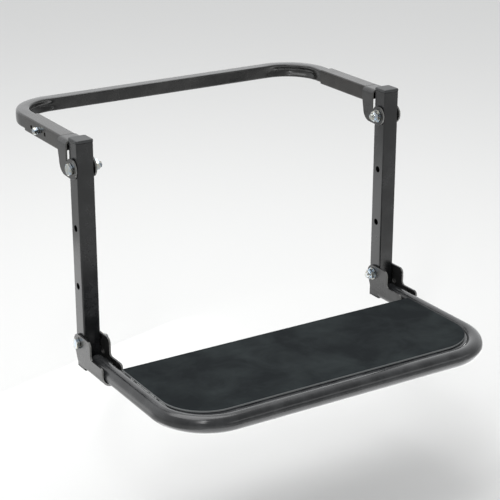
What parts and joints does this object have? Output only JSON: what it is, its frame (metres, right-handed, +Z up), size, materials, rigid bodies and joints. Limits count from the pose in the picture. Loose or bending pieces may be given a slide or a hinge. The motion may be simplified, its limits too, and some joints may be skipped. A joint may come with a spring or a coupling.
{
  "type": "tailgate step",
  "caption": "Drop-down vehicle step: a U tube frame, telescoping sleeves, hinged legs with spare holes, and a fold-up tube rail with a rubber tread.",
  "frame": {"origin": "middle of the top face of the mounting frame's rear bar, which bears up against the vehicle", "axes": "+X to the right along the tread, +Y under the vehicle, away from someone who climbs up, +Z up"},
  "size_m": [0.6098, 0.5959, 0.372],
  "materials": {
    "powder_coat": "satin black powder coat",
    "zinc": "bright zinc plate",
    "plastic": "moulded black plastic",
    "rubber": "matt black rubber mat"
  },
  "bodies": {
    "frame": {"mounting_frame": "powder_coat"},
    "arms": {"sleeve_left": "powder_coat", "clamp_screw_left": "zinc", "clamp_lock_nut_left": "zinc", "top_bracket_left": "powder_coat", "top_pivot_bolt_left": "zinc", "top_pivot_nut_left": "zinc", "top_pivot_washer_left": "zinc", "sleeve_right": "powder_coat", "clamp_screw_right": "zinc", "clamp_lock_nut_right": "zinc", "top_bracket_right": "powder_coat", "top_pivot_bolt_right": "zinc", "top_pivot_nut_right": "zinc", "top_pivot_washer_right": "zinc"},
    "legs": {"leg_left": "powder_coat", "leg_cap_left": "plastic", "foot_plug_left": "plastic", "leg_right": "powder_coat", "leg_cap_right": "plastic", "foot_plug_right": "plastic"},
    "step": {"step_rail": "powder_coat", "tread_pan": "powder_coat", "tread_mat": "rubber", "step_bracket_left": "powder_coat", "bottom_pivot_bolt_left": "zinc", "bottom_pivot_nut_left": "zinc", "bottom_pivot_washer_left": "zinc", "step_bracket_right": "powder_coat", "bottom_pivot_bolt_right": "zinc", "bottom_pivot_nut_right": "zinc", "bottom_pivot_washer_right": "zinc"}
  },
  "joints": [
    {"name": "arms_slide", "type": "slide", "parent": "frame", "child": "arms", "axis": [0, -1, 0], "range_m": [-0.018, 0.025]},
    {"name": "legs_swing", "type": "hinge", "parent": "arms", "child": "legs", "pos_m": [0, -0.265, -0.0387], "axis": [1, 0, 0], "range_deg": [0, 90]},
    {"name": "step_fold", "type": "hinge", "parent": "legs", "child": "step", "pos_m": [0, -0.265, -0.3207], "axis": [1, 0, 0], "range_deg": [-88, 0]}
  ]
}
